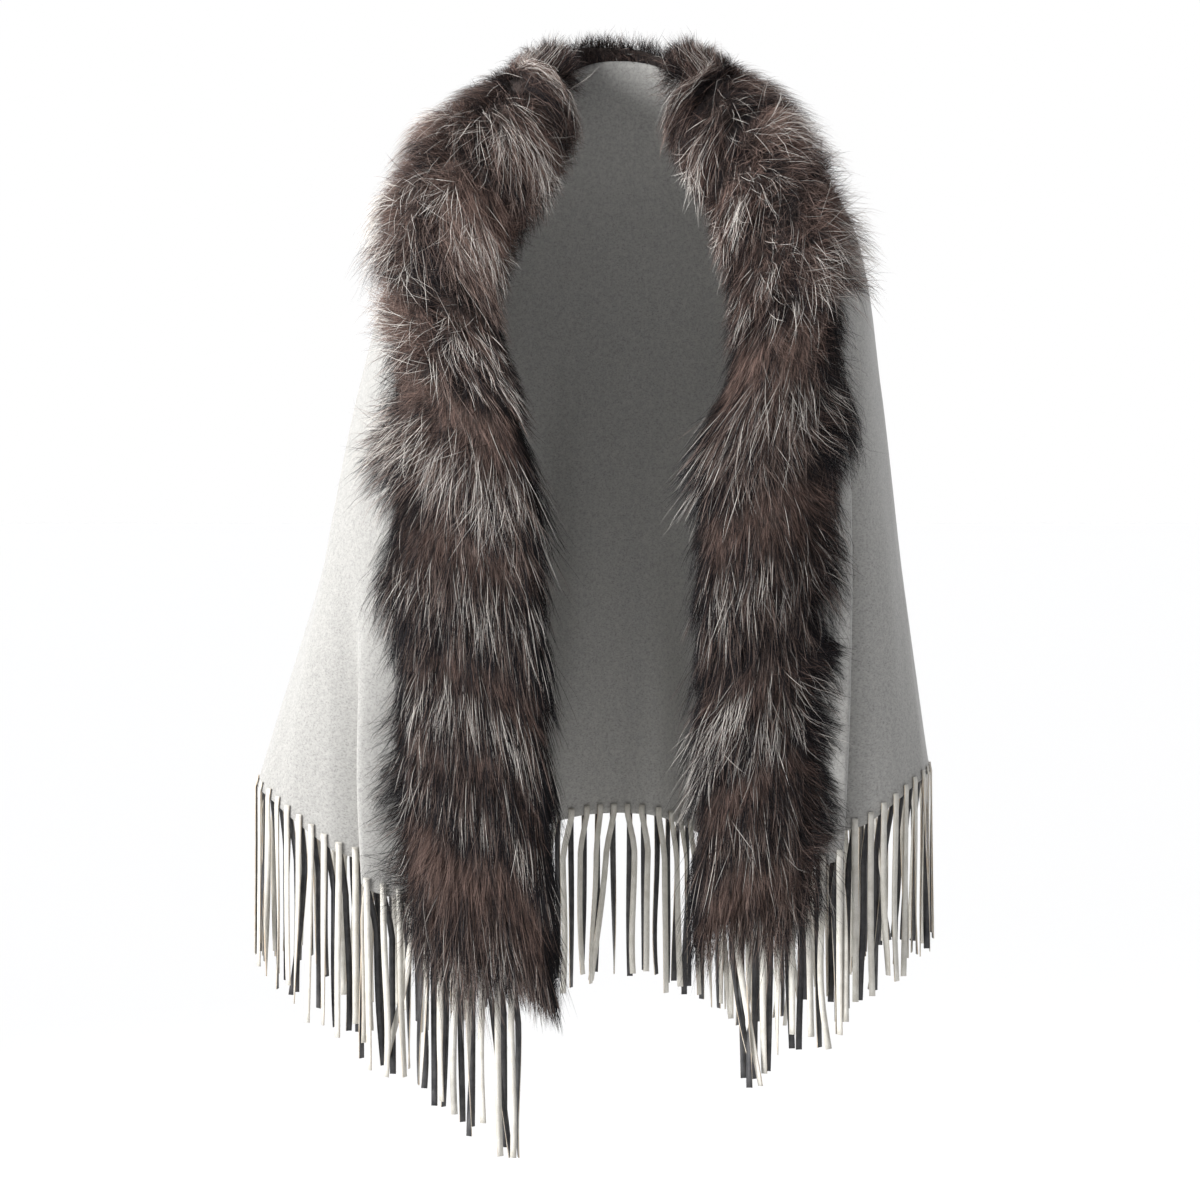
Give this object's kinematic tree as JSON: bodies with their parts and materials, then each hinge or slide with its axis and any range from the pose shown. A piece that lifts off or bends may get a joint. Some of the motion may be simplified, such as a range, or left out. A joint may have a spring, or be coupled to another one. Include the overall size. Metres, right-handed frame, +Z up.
{
  "type": "fur-trimmed fringed shawl cape",
  "caption": "Open-front shawl cape in pale grey felted wool, with silver fox fur along the fronts and round the neck, and a two-tone leather strip fringe along the slanted hem.",
  "frame": {"origin": "the nape: the point of the wearer's neck, at the centre back, that the collar rests on", "axes": "+X to the wearer's left, -Y out through the open front, +Z up"},
  "size_m": [0.7314, 0.3865, 1.1983],
  "materials": {
    "wool_cloth": "felted wool and cashmere, pale grey melange, soft nap, raw edges",
    "fox_fur": "long silver fox hair: taupe underfur, dark guard hairs with silvery bands",
    "fringe_leather": "soft strips, cream on one face and black on the other"
  },
  "bodies": {
    "root": {"cloth_front_right": "wool_cloth", "cloth_back": "wool_cloth", "cloth_front_left": "wool_cloth", "fur_collar": "fox_fur", "fur_front_right": "fox_fur", "fur_front_left": "fox_fur", "fringe_right": "fringe_leather", "fringe_back": "fringe_leather", "fringe_left": "fringe_leather"}
  },
  "joints": []
}
